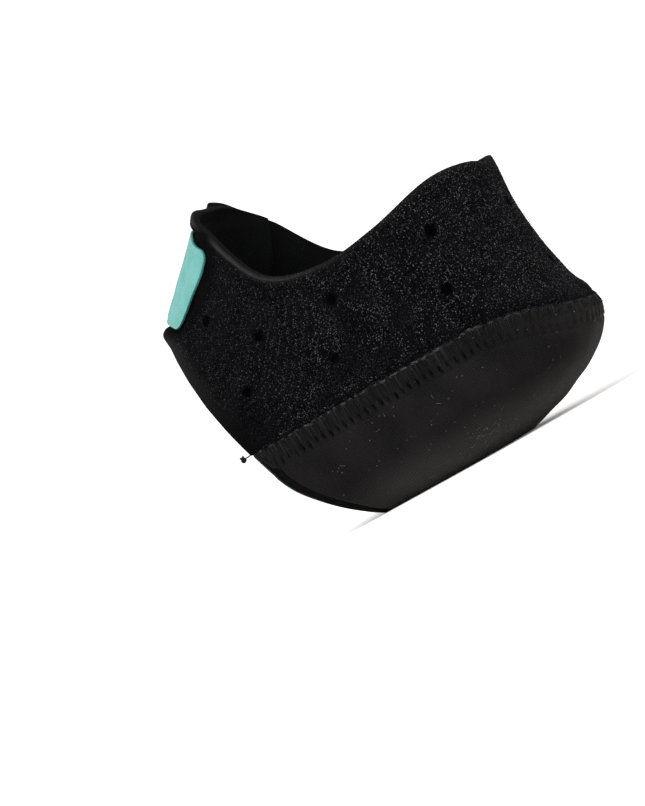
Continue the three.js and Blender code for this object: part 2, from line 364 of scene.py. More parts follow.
def placed(name, data):
    """A new object of this data in the scene."""
    made = bpy.data.objects.new(name, data)
    scene.collection.objects.link(made)
    return made


def mesh_object(name, points, faces, materials, sides=None):
    mesh = bpy.data.meshes.new(name)
    lists = [f.tolist() for f in faces] if isinstance(faces, (list, tuple)) else [faces.tolist()]
    mesh.from_pydata(to_frame(points).tolist(), [], [face for part in lists for face in part])
    for material in materials:
        mesh.materials.append(material)
    if sides is not None:
        mesh.polygons.foreach_set("material_index", np.asarray(sides, np.int32))
    mesh.shade_smooth()
    mesh.update()
    return placed(name, mesh)


def give(piece, name, values):
    """Stores a number, or three, at each point of the piece."""
    kind, field_name = ("FLOAT", "value") if np.ndim(values) == 1 else ("FLOAT_VECTOR", "vector")
    layer = piece.data.attributes.new(name, kind, "POINT")
    layer.data.foreach_set(field_name, np.ascontiguousarray(values, np.float32).ravel())


def finish_piece(piece, slot, *nodes):
    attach(piece, "root")
    if nodes:
        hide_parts(*nodes)
    return piece


def both_sides(values):
    """Values of a grid, flat, for the outer points of a closed sheet and again for the inner ones."""
    return np.tile(values.reshape(-1, *values.shape[2:]), (2,) + (1,) * (values.ndim - 2))


def cloth_places(along, down):
    """The cloth's own coordinates for its shader."""
    along, down = np.broadcast_arrays(along, down)
    return np.stack([along, down, 0 * along], -1)


def sheet_piece(name, grids, materials, cloth, slot, nodes=(), **values):
    """A piece of cloth between two grids, with its own coordinates and other values for its shader."""
    points, faces, side = closed_sheet(*grids)
    piece = mesh_object(name, points, faces, materials, side if len(materials) > 1 else None)
    for key, value in {"cloth": cloth_places(*cloth), **values}.items():
        give(piece, key, both_sides(value))
    return finish_piece(piece, slot, *nodes)


def tube_mesh(lines, radii, ups, sides):
    """Closed tubes along lines of points (tube, point, axis), round the given up directions."""
    tangent = unit(np.gradient(lines, axis=1))
    across = unit(np.cross(tangent, ups))
    up = np.cross(across, tangent)
    turn = np.linspace(0, 2 * math.pi, sides, endpoint=False)
    ring = np.cos(turn)[:, None] * up[:, :, None] + np.sin(turn)[:, None] * across[:, :, None]
    tubes, steps = lines.shape[:2]
    radii = np.broadcast_to(radii, (tubes, steps))
    points = lines[:, :, None] + ring * radii[:, :, None, None]
    index = np.arange(tubes * steps * sides).reshape(tubes, steps, sides)
    a, b = index[:, :-1], index[:, 1:]
    quads = np.stack([a, b, np.roll(b, -1, 2), np.roll(a, -1, 2)], -1).reshape(-1, 4)
    caps = np.concatenate([index[:, 0], index[:, -1][:, ::-1]])
    return points.reshape(-1, 3), [quads, caps]


def tube_piece(name, lines, radii, ups, sides, material, tone, slot):
    """A piece of tubes. Tone is one number, or one for each tube or each point of its line."""
    piece = mesh_object(name, *tube_mesh(lines, radii, ups, sides), [material])
    give(piece, "tone", np.repeat(np.broadcast_to(tone, lines.shape[:2]).ravel(), sides))
    return finish_piece(piece, slot)


class Shader:
    """A material's node tree with short calls to fill it."""

    def __init__(self, name):
        self.material = bpy.data.materials.new(name)
        self.material.use_nodes = True
        self.tree = self.material.node_tree
        self.shader = self.tree.nodes["Principled BSDF"]

    def node(self, kind, inputs=(), **settings):
        made = self.tree.nodes.new("ShaderNode" + kind)
        for key, value in settings.items():
            setattr(made, key, value)
        for key, value in dict(inputs).items():
            self.set(made.inputs[key], value)
        return made

    def set(self, socket, value):
        if isinstance(value, bpy.types.NodeSocket):
            self.tree.links.new(value, socket)
        else:
            socket.default_value = value

    def math(self, operation, *values):
        return self.node("Math", dict(enumerate(values)), operation=operation).outputs[0]

    def times(self, *values):
        return self.math("MULTIPLY", *values)

    def mix(self, share, a, b):
        """The colour between a and b."""
        made = self.node("Mix", data_type="RGBA")
        colours = [s for s in made.inputs if s.type == "RGBA"]
        self.set(made.inputs[0], share)
        self.set(colours[0], a)
        self.set(colours[1], b)
        return next(s for s in made.outputs if s.type == "RGBA")

    def ramp(self, value, low, high, to_low=0.0, to_high=1.0):
        inputs = {"Value": value, "From Min": low, "From Max": high, "To Min": to_low, "To Max": to_high}
        return self.node("MapRange", inputs, interpolation_type="SMOOTHSTEP").outputs["Result"]

    def attribute(self, name, output="Fac"):
        return self.node("Attribute", attribute_name=name).outputs[output]

    def place(self, scale=1000.0):
        """The point in the row frame, in millimetres if scale isn't given."""
        coordinates = self.node("TexCoord").outputs["Object"]
        return self.node("Mapping", {"Vector": coordinates, "Scale": (scale,) * 3}).outputs[0]

    def noise(self, vector, scale, detail=2.0, roughness=0.5):
        inputs = {"Vector": vector, "Scale": scale, "Detail": detail, "Roughness": roughness}
        return self.node("TexNoise", inputs).outputs[0]

    def voronoi(self, vector, scale, randomness=1.0):
        return self.node("TexVoronoi", {"Vector": vector, "Scale": scale, "Randomness": randomness}).outputs

    def bump(self, height, strength, distance):
        inputs = {"Height": height, "Strength": strength, "Distance": distance}
        return self.node("Bump", inputs).outputs[0]

    def colours(self, colour):
        return self.node("SeparateColor", {"Color": colour}).outputs

    def axes(self, vector):
        return self.node("SeparateXYZ", {"Vector": vector}).outputs

    def finish(self, colour, roughness, specular, bump=None, **sockets):
        sockets |= {"base_color": colour, "roughness": roughness, "specular_ior_level": specular}
        if bump is not None:
            sockets["normal"] = bump
        for key, value in sockets.items():
            self.set(self.shader.inputs[key.replace("_", " ").title().replace("Ior", "IOR")], value)
        return self.material


def grey(value, tint=(1.0, 1.0, 1.0)):
    return (value * tint[0], value * tint[1], value * tint[2], 1.0)


VIOLET = (1.0, 0.92, 1.18)
WARM = (1.05, 0.98, 0.99)
COOL = (0.96, 1.0, 1.06)


def plush_material():
    """Loop-faced plush: near black, with small grains whose glints are painted in as light specks."""
    s = Shader("plush")
    place = s.place()
    open_face = s.math("SUBTRACT", 1.0, s.attribute("margin"))
    cells = s.voronoi(place, 2.3)
    pick = s.colours(cells["Color"])
    grain = s.ramp(cells["Distance"], 0.1, 0.55, 1.0, 0.0)
    nap = s.noise(place, 3.8, 4.0, 0.75)
    # Painted glints: a few cells are lit as light specks.
    lit = s.math("POWER", pick[0], 5.0)
    speck = s.times(s.times(grain, lit), s.ramp(nap, 0.35, 0.6, 0.3, 1.0))
    speck = s.times(speck, s.ramp(open_face, 0.0, 1.0, 0.04, 1.0))
    # Specks dimmed by painted shade and flattened pile.
    speck = s.times(speck, s.math("SUBTRACT", 1.0, s.attribute("flat_and_shade")))
    patches = s.noise(place, 0.11, 3.0)
    dark = s.mix(s.ramp(patches, 0.35, 0.7), grey(0.0009, VIOLET), grey(0.0018, VIOLET))
    body = s.mix(s.times(grain, s.ramp(nap, 0.3, 0.7)), dark, grey(0.0075, VIOLET))
    # Grey edge band; it grows lighter towards the top as painted light.
    edging_and_light = s.mix(s.ramp(s.axes(place)[2], 36.0, 95.0), grey(0.0018), grey(0.02))
    edging_and_light = s.mix(s.ramp(nap, 0.3, 0.7, 0.0, 0.45), edging_and_light, grey(0.0012))
    body = s.mix(s.attribute("margin"), body, edging_and_light)
    # Painted highlight along the wrap's top edge.
    body = s.mix(s.attribute("rim"), body, s.mix(s.ramp(nap, 0.3, 0.7), grey(0.013), grey(0.042)))
    tint = s.mix(pick[1], grey(0.14, (0.86, 1.0, 1.16)), grey(0.125, (1.16, 0.98, 0.98)))
    # Painted shadow beside the tab and round the vent holes, set by the press attribute.
    colour = s.mix(s.attribute("press"), s.mix(speck, body, tint), grey(0.0008))
    height = s.math("ADD", s.times(grain, 0.7), nap)
    bump = s.bump(height, 0.8, 0.0004)
    return s.finish(colour, 0.9, 0.005, bump, sheen_weight=0.005, sheen_roughness=0.5)


def loop_material():
    """The wrap's separate loops, each with its own tone; the light ones are painted glints."""
    s = Shader("plush_loops")
    frayed = s.ramp(s.noise(s.place(), 4.0, 2.0), 0.3, 0.7, 0.55, 1.0)
    tint = s.mix(s.attribute("hue"), grey(0.125, (0.84, 1.0, 1.18)), grey(0.115, (1.18, 0.97, 0.96)))
    colour = s.mix(s.times(s.attribute("tone"), frayed), grey(0.0014, VIOLET), tint)
    return s.finish(colour, 0.7, 0.015)


def foam_material():
    """Cut edge of the laminated foam: near black with open cells."""
    s = Shader("foam_edge")
    place = s.place()
    colour = s.mix(s.noise(place, 1.1, 3.0), grey(0.0018, COOL), grey(0.0058, COOL))
    return s.finish(colour, 0.9, 0.012, s.bump(s.voronoi(place, 4.0)["Distance"], 0.8, 0.0002))


def cell_material(name, cells, middle, between, finish, bump):
    """Cells of one scale and randomness, from the colour in their middles to that between them."""
    s = Shader(name)
    away = s.voronoi(s.place(), *cells)["Distance"]
    colour = s.mix(s.ramp(away, 0.1, 0.5), middle, between)
    height, strength, distance = bump
    return s.finish(colour, *finish, s.bump(s.times(away, height), strength, distance))


def knit_height(s, cloth, wale, course):
    """Rows of small loops: ridges a wale apart across the cloth's first axis, broken at each course."""
    parts = s.axes(cloth)
    ribs = s.math("SINE", s.times(parts[0], 2 * math.pi / wale))
    loops = s.math("SINE", s.times(parts[1], 2 * math.pi / course))
    ribs = s.math("MULTIPLY_ADD", ribs, 0.42, 0.42)
    return s.math("ADD", ribs, s.math("MULTIPLY_ADD", loops, 0.38, 0.38))


def turned(s, vector, degrees, wobble):
    """The cloth's coordinates turned by an angle and a little uneven."""
    noise = s.node("TexNoise", {"Vector": vector, "Scale": 0.22, "Detail": 2.0}).outputs["Color"]
    moved = s.node("VectorMath", {0: noise, 3: wobble}, operation="SCALE").outputs[0]
    vector = s.node("VectorMath", {0: vector, 1: moved}, operation="ADD").outputs[0]
    inputs = {"Vector": vector, "Rotation": (0.0, 0.0, math.radians(degrees))}
    return s.node("Mapping", inputs).outputs[0]


def knit_material(name, degrees, wale, course, tone, contrast, tint, lint, sheen=0.0):
    """Fine-ribbed jersey with the odd speck of lint, painted shade in its needle holes and painted floor
    light where a piece is marked for it.
    """
    s = Shader(name)
    place = s.place()
    cloth = turned(s, s.attribute("cloth", "Vector"), degrees, 1.1)
    height = knit_height(s, cloth, wale, course)
    patches = s.noise(place, 0.07, 3.0)
    fibres = s.noise(place, 4.5, 4.0, 0.75)
    share = s.math("ADD", s.times(height, 0.34), s.ramp(fibres, 0.28, 0.72, -0.25, 0.55))
    colour = s.mix(share, grey(tone * (1 - contrast), tint), grey(tone * (1 + contrast), tint))
    colour = s.mix(s.ramp(patches, 0.3, 0.72, 0.0, 0.45), colour, grey(tone * (1 + 1.2 * contrast), tint))
    cells = s.voronoi(place, 0.6)
    picks = s.colours(cells["Color"])
    speck = s.times(s.ramp(cells["Distance"], 0.06, 0.14, 1.0, 0.0), s.ramp(picks[0], 0.45, 0.95))
    fluff = s.mix(picks[1], grey(0.06), grey(0.07, (1.3, 0.95, 0.72)))
    # Painted light: the cup's low back is lightened as if lit from the floor below.
    floor_lit = s.mix(share, grey(tone, (2.3, 2.15, 2.1)), grey(tone, (5.2, 4.9, 4.8)))
    colour = s.mix(s.times(speck, lint), colour, fluff)
    colour = s.mix(s.attribute("floor_light"), colour, floor_lit)
    # Painted shade: the needle holes are darkened to near black.
    colour = s.mix(s.attribute("pull"), colour, grey(0.0005))
    bump = s.bump(s.math("ADD", height, s.times(fibres, 0.8)), 0.5, 0.0002)
    tint = grey(0.8, (1.12, 1.0, 0.95))
    return s.finish(colour, 0.88, 0.012, bump, sheen_weight=sheen, sheen_roughness=0.35, sheen_tint=tint)


def hem_material():
    """Smooth binding, darker than the cup, with a thin painted highlight along its rim."""
    s = Shader("hem_binding")
    place = s.place()
    ribs = knit_height(s, turned(s, s.attribute("cloth", "Vector"), 0, 0.2), 0.5, 0.4)
    colour = s.mix(s.ramp(s.noise(place, 0.8, 3.0), 0.3, 0.7), grey(0.0013), grey(0.0026))
    # Painted highlight: a pale blue-grey line along the rim.
    edge = s.times(s.attribute("rim"), s.ramp(s.noise(place, 1.6, 2.0), 0.3, 0.6, 0.4, 1.0))
    colour = s.mix(edge, colour, grey(0.05, (0.8, 1.0, 1.14)))
    return s.finish(colour, 0.8, 0.015, s.bump(ribs, 0.35, 0.00012))


def thread_material(name, dark, light, tint):
    """Fuzzy sewing thread: fine twist and loose fibres."""
    s = Shader(name)
    fibres = s.noise(s.place(), 5.5, 4.0, 0.75)
    share = s.times(s.ramp(fibres, 0.3, 0.75, 0.15, 1.0), s.attribute("tone"))
    colour = s.mix(share, grey(dark, tint), grey(light, tint))
    return s.finish(colour, 0.8, 0.02, s.bump(fibres, 0.8, 0.00015), sheen_weight=0.01)


def tab_material():
    """Brushed teal cloth with fine streaks across it, a little darker along its rim."""
    s = Shader("hook_tab_face")
    place = s.place()
    cloth = s.attribute("cloth", "Vector")
    across = s.node("Mapping", {"Vector": cloth, "Scale": (0.9, 3.4, 1.0)}).outputs[0]
    brushed = s.noise(across, 1.2, 5.0, 0.65)
    broad = s.noise(place, 0.16, 2.0)
    ribs = s.math("SINE", s.times(s.axes(turned(s, cloth, 12, 0.6))[1], 2 * math.pi / 0.72))
    brushed = s.math("MULTIPLY_ADD", ribs, 0.055, brushed)
    teal = (0.072, 0.222, 0.21, 1.0)
    pale = (0.142, 0.295, 0.28, 1.0)
    deep = (0.062, 0.205, 0.192, 1.0)
    colour = s.mix(s.ramp(brushed, 0.34, 0.68), teal, pale)
    colour = s.mix(s.ramp(broad, 0.35, 0.7, 0.0, 0.5), colour, deep)
    nap = s.noise(place, 7.0, 3.0, 0.7)
    colour = s.mix(s.ramp(nap, 0.55, 0.8, 0.0, 0.3), colour, (0.19, 0.35, 0.33, 1.0))
    colour = s.mix(s.ramp(s.attribute("rim"), 0.0, 1.0, 0.0, 0.6), colour, (0.02, 0.12, 0.11, 1.0))
    height = s.math("ADD", s.times(brushed, 0.8), nap)
    return s.finish(colour, 0.8, 0.03, s.bump(height, 0.4, 0.0002), sheen_weight=0.02, sheen_roughness=0.4)


PLUSH = plush_material()
LOOPS = loop_material()
FOAM = foam_material()
# Walls of the vent holes: the foam's cells, painted near black as the shade inside the holes.
VENT = cell_material("vent_shade_wall", (5.0, 1.0), grey(0.0002), grey(0.0007), (0.95, 0.0), (1.0, 0.6, 0.00015))
LINING = knit_material("lining_knit", 0, 0.8, 0.6, 0.0026, 0.45, COOL, 0.2)
KNIT = knit_material("cup_knit", 45, 0.58, 0.56, 0.0056, 0.8, WARM, 1.0, 0.06)
HEM = hem_material()
THREAD = thread_material("seam_thread", 0.003, 0.075, COOL)
LINT = thread_material("lint_fibres", 0.02, 0.2, (1.2, 0.98, 0.8))
TAB_THREAD = thread_material("tab_thread", 0.05, 0.22, (0.5, 1.05, 1.0))
TAB = tab_material()
# The tab's gripping side: dense stiff hooks.
HOOK_COLOURS = (0.1, 0.3, 0.28, 1.0), (0.02, 0.09, 0.08, 1.0)
HOOKS = cell_material("hook_tab_back", (1.7, 0.25), *HOOK_COLOURS, (0.65, 0.12), (-1.0, 0.9, 0.0004))


# The hook tab's place, sewn to the over end on the wearer's right.
def tab_lift(angle):
    high = OVER_END - LAP_CLEAR
    return CLEARANCE + (WRAP_WALL + CLEARANCE) * smoothstep(angle, high - 1.6 * LAP_RISE, high + 3)


tab_angle_fine = np.linspace(-110, 110, 1101)
tab_along_fine = run_lengths(surface(tab_angle_fine, TAB_ROW))
tab_along_fine -= np.interp(0, tab_angle_fine, tab_along_fine)


def tab_place(around, down, proud):
    """Points on the tab's underside, by distance round from its middle and down over the surface."""
    lean = TAB_LEAN * down * (0.5 - around / TAB_LENGTH) / TAB_HEIGHT
    angle = np.interp(around + lean, tab_along_fine, tab_angle_fine)
    lengths = column_lengths(angle.ravel())
    middle = lengths_at(lengths, np.full(angle.size, TAB_ROW))
    row = rows_at(lengths, middle + down.ravel()).reshape(angle.shape)
    normal = surface_normal(angle, row)
    wave = WAVE * broad_waves(surface(angle, row))
    return surface(angle, row) + normal * (wave + tab_lift(angle) + proud)[..., None], normal


press_curve = smooth_curve([-16, -12, -6, 2, 9, 16], [1.1, 0.75, 0.1, 0.7, 1.9, 2.3], True)


def tab_dent(off, down):
    """How deep the stiff tab presses the wrap, by the distance outside its outline and down over it."""
    pressed = press_curve(down)[..., 0] * (1 - smoothstep(off, -0.8, 2.6))
    swell = 0.05 + 0.75 * smoothstep(down, -13.0, 15.0)
    return pressed - swell * hump(off, 3.4, 1.8)


def off_tab(angles, rows):
    """How far each place of a grid on the wrap is outside the tab's outline, and down from its middle."""
    turn = np.where(angles < -180, angles + 360, angles)
    lengths = column_lengths(turn)
    down = lengths_at(lengths, rows) - lengths_at(lengths, np.full(len(turn), TAB_ROW))[:, None]
    along = np.interp(turn, tab_angle_fine, tab_along_fine)[:, None]
    lean = TAB_LEAN * down / TAB_HEIGHT
    around = (along - lean / 2) / (1 - lean / TAB_LENGTH)
    past = np.stack([np.abs(around) - TAB_LENGTH / 2, np.abs(down) - TAB_HEIGHT / 2], -1) + TAB_CORNER
    off = np.linalg.norm(np.maximum(past, 0), axis=-1) + np.minimum(past.max(-1), 0) - TAB_CORNER
    return np.where(np.abs(turn)[:, None] > 90, FAR, off), down


# The ankle wrap: one strip that laps over its own under end on the instep. Its columns stand a step
# apart at its middle row, and its rows are closer near both edges, where the foam is rounded.
WRAP_ROW = 3.2
WRAP_STEP = 0.68
WRAP_CLOSE = [0, 0.12, 0.35, 0.7, 1.15, 1.8]
WRAP_ROWS = 66
PLUSH_ROUND = 0.75
LINING_ROUND = 0.5
LOOPS_PER_AREA = 4.5


def wrap_lift(angle):
    high = UNDER_END + LAP_CLEAR
    over = (WRAP_WALL + CLEARANCE) * (1 - smoothstep(angle + 360, high, high + LAP_RISE))
    return np.where(angle > -180, 0.0, over)


def wrap_surfaces():
    """The wrap's angles, each place's distance from its edges and from the tab, and its two faces."""
    stops = [UNDER_END, -SEAM_END, SEAM_END - 360, OVER_END - 360]
    spans = [even_angles(a, b, WRAP_ROW, WRAP_STEP) for a, b in zip(stops, stops[1:])]
    angles = np.concatenate([spans[0], *(span[1:] for span in spans[1:])])
    to_front = front_row(angles)
    to_seam = seam_row(angles, CLEARANCE / 2)
    end = np.minimum(to_front, to_seam)
    turn, rows, from_top, from_end = strip_grid(angles, top_row(angles), end, WRAP_CLOSE, WRAP_ROWS)
    base = surface(turn, rows)
    at_seam = (to_seam <= to_front)[:, None]
    from_seam = np.where(at_seam, from_end, np.maximum(0, base[..., 2] - seam_at(base[..., 1])))
    from_front = np.where(at_seam, FAR, from_end)
    from_start = run_lengths(base)
    off, down = off_tab(angles, rows)
    lift = wrap_lift(turn)
    dent = tab_dent(off, down) * (1 - smoothstep(turn, -3, 12))
    from_ends = np.minimum(from_start, from_start[-1:] - from_start)
    edge = np.minimum(np.minimum(from_top, from_front), from_ends)
    above_seam = from_front > FAR / 2
    swell = 0.3 * hump(from_seam, 3.2, 1.8) * above_seam
    drop = rounded(edge, PLUSH_ROUND) + 0.4 * (hump(from_seam, 0, 1.2) * above_seam) - swell
    drop = drop - 0.16 * fine_waves(base) * hump(from_seam, 0, 2.2)
    outer = sleeve(turn, rows, drop - lift + dent)
    pressed_in = 0.6 * np.maximum(dent, 0)
    inner = sleeve(turn, rows, WRAP_WALL - lift - rounded(edge, LINING_ROUND) + pressed_in)
    return turn, from_top, from_front, from_seam, off, down, outer, inner


def vent_axes():
    made = []
    for angle, share in VENTS:
        angle = np.array([float(angle)])
        row = bisect(0, LAST_ROW, lambda place: surface(angle, place)[..., 2] < HEIGHT * share, (1,))
        made.append((surface(angle, row)[0], surface_normal(angle, row)[0]))
    return made


def from_vents(points):
    """The distance of each point from the nearest vent hole's axis."""
    least = np.full(points.shape[:-1], FAR)
    for centre, normal in vent_axes():
        off = points - centre
        along = off @ normal
        radial = np.linalg.norm(off - along[..., None] * normal, axis=-1)
        least = np.minimum(least, np.where(np.abs(along) < 6, radial, FAR))
    return least


def vent_cutters(materials):
    """One mesh of slightly waisted plugs that cut the vent holes."""
    sides = 28
    depths = np.array([1.6, 0.35, 0.0, -0.5, -WRAP_WALL / 2, -WRAP_WALL + 0.4, -WRAP_WALL - 1.6])
    radii = VENT_DIAMETER / 2 * np.array([1.6, 1.4, 1.2, 1.06, 0.98, 1.0, 1.15])
    points, quads, caps = [], [], []
    for centre, normal in vent_axes():
        across = unit(np.cross(normal, [0, 0, 1.0]))
        up = np.cross(normal, across)
        turn = np.linspace(0, 2 * math.pi, sides, endpoint=False)
        uneven = 1 + 0.05 * np.sin(2 * turn + centre[1]) + 0.04 * np.sin(3 * turn + centre[2])
        rings = []
        for depth, radius in zip(depths, radii):
            ring = np.outer(np.cos(turn) * uneven, across) + np.outer(np.sin(turn) * uneven, up)
            rings.append(centre + normal * depth + ring * radius)
        start = sum(len(p) for p in points)
        points.append(np.concatenate(rings))
        index = start + np.arange(len(depths) * sides).reshape(len(depths), sides)
        a, b = index[:-1], index[1:]
        quads.append(np.stack([a, np.roll(a, -1, 1), np.roll(b, -1, 1), b], -1).reshape(-1, 4))
        caps.append(index[0][::-1])
        caps.append(index[-1])
    faces = [np.concatenate(quads), np.array(caps)]
    sides_of = np.full(len(faces[0]) + len(faces[1]), HOLE)
    return mesh_object("vent_cutters", np.concatenate(points), faces, materials, sides_of)


def cut(piece, cutter):
    """Cuts the cutter out of the piece for good, and deletes the cutter."""
    modifier = piece.modifiers.new("cut", "BOOLEAN")
    modifier.operation = "DIFFERENCE"
    modifier.solver = "MANIFOLD"
    modifier.object = cutter
    graph = bpy.context.evaluated_depsgraph_get()
    made = bpy.data.meshes.new_from_object(piece.evaluated_get(graph))
    piece.modifiers.clear()
    old = piece.data
    name = old.name
    piece.data = made
    bpy.data.meshes.remove(old)
    made.name = name
    bpy.data.objects.remove(cutter)


def points_of(piece):
    found = np.zeros(len(piece.data.vertices) * 3, np.float32)
    piece.data.vertices.foreach_get("co", found)
    return found.reshape(-1, 3)


def nearest(points, wanted):
    """For each wanted place, the index of the nearest point and how far off it is."""
    tree = KDTree(len(points))
    for i, point in enumerate(points):
        tree.insert(point, i)
    tree.balance()
    found = [tree.find(point)[1:] for point in wanted]
    return np.array([i for i, _ in found]), np.array([off for _, off in found])


wrap_turn, from_top, from_front, from_seam, *wrap_rest = wrap_surfaces()
wrap_off_tab, down_tab, wrap_outer, wrap_inner = wrap_rest
near_instep = 1 - smoothstep(from_instep(wrap_turn), 35, 105)
front_margin = 1 - smoothstep(from_front, 0.8, 6.5)
top_margin = 0.85 * (1 - smoothstep(from_top, 0.5, 2.6)) * (0.35 + 0.65 * near_instep)
wrap_margin = np.maximum(front_margin, top_margin)
# Painted highlight: a light line just inside the top edge, strongest near the instep.
wrap_rim_highlight = hump(from_top, 0.7, 0.3) * near_instep
# Painted shadow: the plush is darkened beside the tab's edge and round each vent hole, where shade falls;
# there the loops are also thinned out as crushed pile.
beside_tab = smoothstep(np.abs(down_tab), 17, 11)
wrap_crush_and_shade = 1 - smoothstep(wrap_off_tab, 0.8 + 0.8 * beside_tab, 4.4 + 3.4 * beside_tab)
wrap_crush_and_shade = wrap_crush_and_shade * (wrap_turn < 12)
wrap_crush_and_shade = np.maximum(wrap_crush_and_shade, 1 - smoothstep(from_vents(wrap_outer), 1.55, 2.1))
# Painted shade and flattened pile: specks and loop tones are dimmed towards the instep, low at the front
# and just above the seam.
wrap_flat_and_shade = 0.5 * smoothstep(wrap_turn, -95, -45)
wrap_flat_and_shade = np.maximum(wrap_flat_and_shade, 0.6 * (1 - smoothstep(from_seam, 0.8, 7.0)))
low_front = smoothstep(from_front, 24, 7) * smoothstep(wrap_outer[..., 2], 62, 44)
wrap_flat_and_shade = np.maximum(wrap_flat_and_shade, 0.85 * low_front)


def build_wrap():
    points, faces, side = closed_sheet(wrap_outer, wrap_inner)
    materials = [PLUSH, LINING, FOAM, VENT]
    wrap = mesh_object("wrap", points, faces, materials, side)
    grid = points_of(wrap)
    cut(wrap, vent_cutters(materials))
    source, _ = nearest(grid, points_of(wrap))
    cloth = cloth_places(run_lengths(wrap_outer[:, 40])[:, None], from_top)
    shares = {"margin": wrap_margin, "rim": wrap_rim_highlight, "press": wrap_crush_and_shade, "flat_and_shade": wrap_flat_and_shade}
    for key, value in {**shares, "cloth": cloth}.items():
        give(wrap, key, both_sides(value)[source])
    wrap.data.shade_smooth()
    wrap.data.set_sharp_from_angle(angle=math.radians(58))
    return finish_piece(wrap, "plush_foam", "ankle_wrap")


def scatter(grid, density, made):
    """Places on a grid of points, density to the square millimetre: positions, normals and grid places."""
    a, b, c, d = grid[:-1, :-1], grid[:-1, 1:], grid[1:, 1:], grid[1:, :-1]
    cross = np.cross(c - a, d - b)
    area = np.linalg.norm(cross, axis=-1) / 2
    total = np.concatenate([[0], np.cumsum(area.ravel() * density)])
    edges = np.floor(total + made.random())
    counts = np.diff(edges).astype(int)
    cell = np.repeat(np.arange(len(counts)), counts)
    i, j = np.unravel_index(cell, area.shape)
    u, v = made.random((2, len(cell)))
    corners = [a[i, j], b[i, j], c[i, j], d[i, j]]
    shares = [(1 - u) * (1 - v), (1 - u) * v, u * v, u * (1 - v)]
    places = sum(s[:, None] * p for s, p in zip(shares, corners))
    return places, unit(-cross[i, j]), i + u, j + v


def grid_values(values, i, j):
    """Values of a grid at fractional places."""
    i0, j0 = i.astype(int), j.astype(int)
    u, v = i - i0, j - j0
    low = values[i0, j0] * (1 - v) + values[i0, j0 + 1] * v
    high = values[i0 + 1, j0] * (1 - v) + values[i0 + 1, j0 + 1] * v
    return low * (1 - u) + high * u


def tufts(places, lengths, widths, directions, normals):
    """Small four-cornered grains: points and faces, which look outwards."""
    across = unit(np.cross(directions, normals))
    half = lengths[:, None] / 2
    wide = widths[:, None] / 2
    corners = np.stack(
        [
            places - directions * half - normals * wide * 0.6,
            places + directions * half - normals * wide * 0.6,
            places + across * wide + normals * wide,
            places - across * wide + normals * wide,
        ],
        axis=1,
    )
    start = 4 * np.arange(len(places))[:, None, None]
    faces = start + np.array([[0, 1, 2], [0, 3, 1], [0, 2, 3], [1, 3, 2]])
    return corners.reshape(-1, 3), faces.reshape(-1, 3)


def build_loops():
    places, normals, i, j = scatter(wrap_outer, LOOPS_PER_AREA, rng)
    margin = np.maximum(grid_values(wrap_margin, i, j), grid_values(wrap_crush_and_shade, i, j))
    keep = (grid_values(wrap_turn, i, j) < OVER_END - 3) & (rng.random(len(places)) > 0.92 * margin)
    keep &= grid_values(wrap_off_tab, i, j) > 0.25
    keep &= from_vents(places) > 1.85
    places, normals, margin = places[keep], normals[keep], margin[keep]
    count = len(places)
    across = unit(np.cross(normals, unit(rng.normal(size=(count, 3)))))
    lean = unit(across + normals * rng.uniform(-0.2, 0.4, (count, 1)))
    lengths = rng.uniform(0.24, 0.58, count) * (1 - 0.4 * margin)
    widths = rng.uniform(0.16, 0.29, count) * (1 - 0.3 * margin)
    lifted = places + normals * rng.uniform(-0.04, 0.12, (count, 1)) * (1 - 0.5 * margin[:, None])
    points, faces = tufts(lifted, lengths, widths, lean, normals)
    loops = mesh_object("wrap_loops", points, faces, [LOOPS])
    patches = np.clip(0.75 + 0.3 * field(14.0, 9, 31)(places), 0.3, 1.2)
    flat_and_shade = grid_values(wrap_flat_and_shade, i, j)[keep]
    # Loop tones dimmed by the same painted shade and flattened pile.
    tone = np.clip(rng.random(count) ** 4.0 * patches, 0, 1) * (1 - 0.8 * margin) * (1 - flat_and_shade)
    give(loops, "tone", np.repeat(tone, 4))
    give(loops, "hue", np.repeat(rng.random(count), 4))
    return finish_piece(loops, "plush_foam")


# The knit cup, from the seam to the hem. Its columns stand a step apart at its middle row.
CUP_ROW = 5.2
CUP_STEP = 0.62
BAND_REACH = 7.6
cup_angles = even_angles(-SEAM_END - 0.05, SEAM_END - 360 + 0.05, CUP_ROW, CUP_STEP)
seam_rows = seam_row(cup_angles, -CLEARANCE / 2)
seam_along = run_lengths(surface(cup_angles, seam_rows))


def hem_row(angles, back_by):
    """The row that is back_by behind the front edge."""
    lengths = column_lengths(angles)
    front = lengths_at(lengths, front_row(angles))
    return rows_at(lengths, front - back_by)


def from_seam_line(turn, rows):
    """The distance of each place from the seam, in millimetres."""
    seam = surface(cup_angles, seam_row(cup_angles, 0.0))
    _, off = nearest(seam, surface(turn, rows).reshape(-1, 3))
    return off.reshape(turn.shape)


